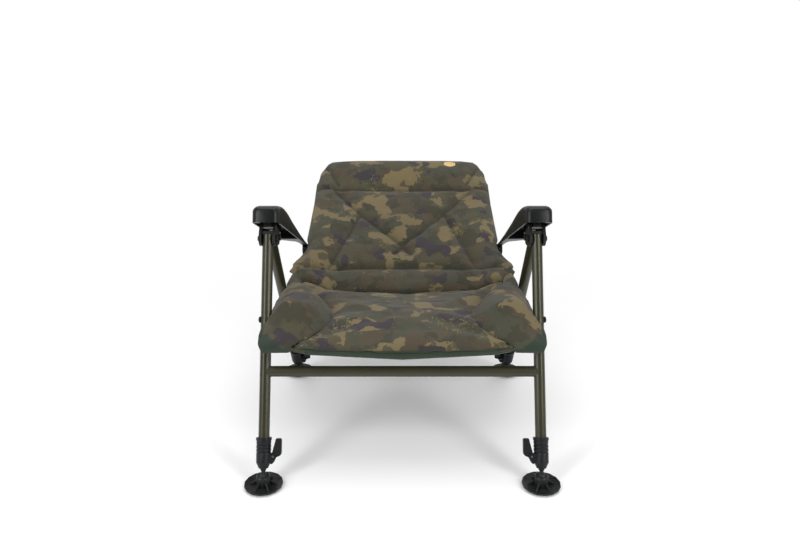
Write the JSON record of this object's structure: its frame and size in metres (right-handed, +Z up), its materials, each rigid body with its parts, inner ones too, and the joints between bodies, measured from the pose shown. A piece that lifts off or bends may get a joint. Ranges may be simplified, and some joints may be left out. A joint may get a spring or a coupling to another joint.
{
  "type": "reclining folding fishing chair",
  "caption": "Low reclining armchair on a folding tube frame, with a padded seat and back, notched armrests and telescopic legs that end in swivelling mud feet.",
  "frame": {"origin": "on the ground, at the middle of the chair's bounding box", "axes": "+Z up, the sitter faces -Y, the sitter's left is +X"},
  "size_m": [0.6546, 0.9576, 0.546],
  "materials": {
    "frame_tube": "satin olive powder coat",
    "dark_plastic": "moulded, slightly satin",
    "cam_plastic": "moulded, dark slate",
    "armrest_plastic": "moulded, semi-gloss",
    "dark_steel": "black",
    "bright_steel": "plated",
    "backing_cloth": "dark green woven cloth",
    "camo_cloth": "brushed camouflage cloth over padding"
  },
  "bodies": {
    "front_frame": {"front_crossbar": "frame_tube", "front_left_leg": "frame_tube", "front_left_cam_collar": "cam_plastic", "front_left_cam_pin": "bright_steel", "knuckle_left": "dark_plastic", "knuckle_bolt_left": "dark_steel", "rear_leg_bolt_left": "dark_steel", "armrest_pin_left": "bright_steel", "seat_pivot_bolt_left": "dark_steel", "seat_pivot_spacer_left": "dark_plastic", "front_right_leg": "frame_tube", "front_right_cam_collar": "cam_plastic", "front_right_cam_pin": "bright_steel", "knuckle_right": "dark_plastic", "knuckle_bolt_right": "dark_steel", "rear_leg_bolt_right": "dark_steel", "armrest_pin_right": "bright_steel", "seat_pivot_bolt_right": "dark_steel", "seat_pivot_spacer_right": "dark_plastic"},
    "rear_frame": {"rear_crossbar": "frame_tube", "rear_left_leg": "frame_tube", "rear_left_cam_collar": "cam_plastic", "rear_left_cam_pin": "bright_steel", "seat_rest_peg_left": "dark_plastic", "rear_right_leg": "frame_tube", "rear_right_cam_collar": "cam_plastic", "rear_right_cam_pin": "bright_steel", "seat_rest_peg_right": "dark_plastic"},
    "seat": {"seat_frame": "frame_tube", "seat_sling": "backing_cloth", "seat_hem": "backing_cloth", "seat_cushion": "camo_cloth", "seat_wing_left": "camo_cloth", "seat_hinge_plate_left": "dark_steel", "hinge_bolt_left": "bright_steel", "seat_wing_right": "camo_cloth", "seat_hinge_plate_right": "dark_steel", "hinge_bolt_right": "bright_steel"},
    "back": {"back_frame": "frame_tube", "back_sling": "backing_cloth", "back_cushion": "camo_cloth", "back_hinge_plate_left": "dark_steel", "armrest_pivot_left": "dark_steel", "back_hinge_plate_right": "dark_steel", "armrest_pivot_right": "dark_steel"},
    "armrest_left": {"armrest_left": "armrest_plastic"},
    "front_left_inner_leg": {"front_left_inner_leg": "dark_plastic"},
    "front_left_cam_lever": {"front_left_cam_lever": "cam_plastic"},
    "mud_foot_front_left": {"mud_foot_front_left": "dark_plastic"},
    "rear_left_inner_leg": {"rear_left_inner_leg": "dark_plastic"},
    "rear_left_cam_lever": {"rear_left_cam_lever": "cam_plastic"},
    "mud_foot_rear_left": {"mud_foot_rear_left": "dark_plastic"},
    "armrest_right": {"armrest_right": "armrest_plastic"},
    "front_right_inner_leg": {"front_right_inner_leg": "dark_plastic"},
    "front_right_cam_lever": {"front_right_cam_lever": "cam_plastic"},
    "mud_foot_front_right": {"mud_foot_front_right": "dark_plastic"},
    "rear_right_inner_leg": {"rear_right_inner_leg": "dark_plastic"},
    "rear_right_cam_lever": {"rear_right_cam_lever": "cam_plastic"},
    "mud_foot_rear_right": {"mud_foot_rear_right": "dark_plastic"}
  },
  "joints": [
    {"name": "rear_leg_fold", "type": "hinge", "parent": "front_frame", "child": "rear_frame", "pos_m": [0, -0.20652, 0.46995], "axis": [-1, 0, 0], "range_deg": [0, 46]},
    {"name": "seat_fold", "type": "hinge", "parent": "front_frame", "child": "seat", "pos_m": [0, -0.30702, 0.31799], "axis": [1, 0, 0], "range_deg": [0, 67], "deforming": ["seat_wing_left", "seat_wing_right"]},
    {"name": "back_fold", "type": "hinge", "parent": "seat", "child": "back", "pos_m": [0, 0.02311, 0.29583], "axis": [1, 0, 0], "range_deg": [0, 135], "deforming": ["seat_cushion", "back_cushion"]},
    {"name": "armrest_fold_left", "type": "hinge", "parent": "back", "child": "armrest_left", "pos_m": [0.266, 0.15429, 0.33573], "axis": [1, 0, 0], "range_deg": [-192, 0]},
    {"name": "armrest_fold_right", "type": "hinge", "parent": "back", "child": "armrest_right", "pos_m": [-0.266, 0.15429, 0.33573], "axis": [1, 0, 0], "range_deg": [-192, 0]},
    {"name": "front_left_leg_slide", "type": "slide", "parent": "front_frame", "child": "front_left_inner_leg", "axis": [0, -0.4067, -0.9135], "range_m": [0, 0.12]},
    {"name": "front_left_cam_release", "type": "hinge", "parent": "front_frame", "child": "front_left_cam_lever", "pos_m": [0.267, -0.42172, 0.06037], "axis": [0, -0.9135, 0.4067], "range_deg": [0, 110]},
    {"name": "mud_foot_tilt_front_left", "type": "hinge", "parent": "front_left_inner_leg", "child": "mud_foot_front_left", "pos_m": [0.2875, -0.4388, 0.022], "axis": [1, 0, 0], "range_deg": [-40, 10]},
    {"name": "front_right_leg_slide", "type": "slide", "parent": "front_frame", "child": "front_right_inner_leg", "axis": [0, -0.4067, -0.9135], "range_m": [0, 0.12]},
    {"name": "front_right_cam_release", "type": "hinge", "parent": "front_frame", "child": "front_right_cam_lever", "pos_m": [-0.267, -0.42172, 0.06037], "axis": [0, 0.9135, -0.4067], "range_deg": [0, 110]},
    {"name": "mud_foot_tilt_front_right", "type": "hinge", "parent": "front_right_inner_leg", "child": "mud_foot_front_right", "pos_m": [-0.2875, -0.4388, 0.022], "axis": [1, 0, 0], "range_deg": [-40, 10]},
    {"name": "rear_left_leg_slide", "type": "slide", "parent": "rear_frame", "child": "rear_left_inner_leg", "axis": [0, 0.5404, -0.8414], "range_m": [0, 0.12]},
    {"name": "rear_left_cam_release", "type": "hinge", "parent": "rear_frame", "child": "rear_left_cam_lever", "pos_m": [0.267, 0.0585, 0.05734], "axis": [0, -0.8414, -0.5404], "range_deg": [0, 110]},
    {"name": "mud_foot_tilt_rear_left", "type": "hinge", "parent": "rear_left_inner_leg", "child": "mud_foot_rear_left", "pos_m": [0.2875, 0.0812, 0.022], "axis": [1, 0, 0], "range_deg": [-2, 40]},
    {"name": "rear_right_leg_slide", "type": "slide", "parent": "rear_frame", "child": "rear_right_inner_leg", "axis": [0, 0.5404, -0.8414], "range_m": [0, 0.12]},
    {"name": "rear_right_cam_release", "type": "hinge", "parent": "rear_frame", "child": "rear_right_cam_lever", "pos_m": [-0.267, 0.0585, 0.05734], "axis": [0, 0.8414, 0.5404], "range_deg": [0, 110]},
    {"name": "mud_foot_tilt_rear_right", "type": "hinge", "parent": "rear_right_inner_leg", "child": "mud_foot_rear_right", "pos_m": [-0.2875, 0.0812, 0.022], "axis": [1, 0, 0], "range_deg": [-2, 40]}
  ],
  "couplings": [
    {"joint": "seat_fold", "follows": "rear_leg_fold", "ratio": 1.45},
    {"joint": "armrest_fold_left", "follows": "back_fold", "ratio": -1.42},
    {"joint": "armrest_fold_right", "follows": "back_fold", "ratio": -1.42}
  ]
}
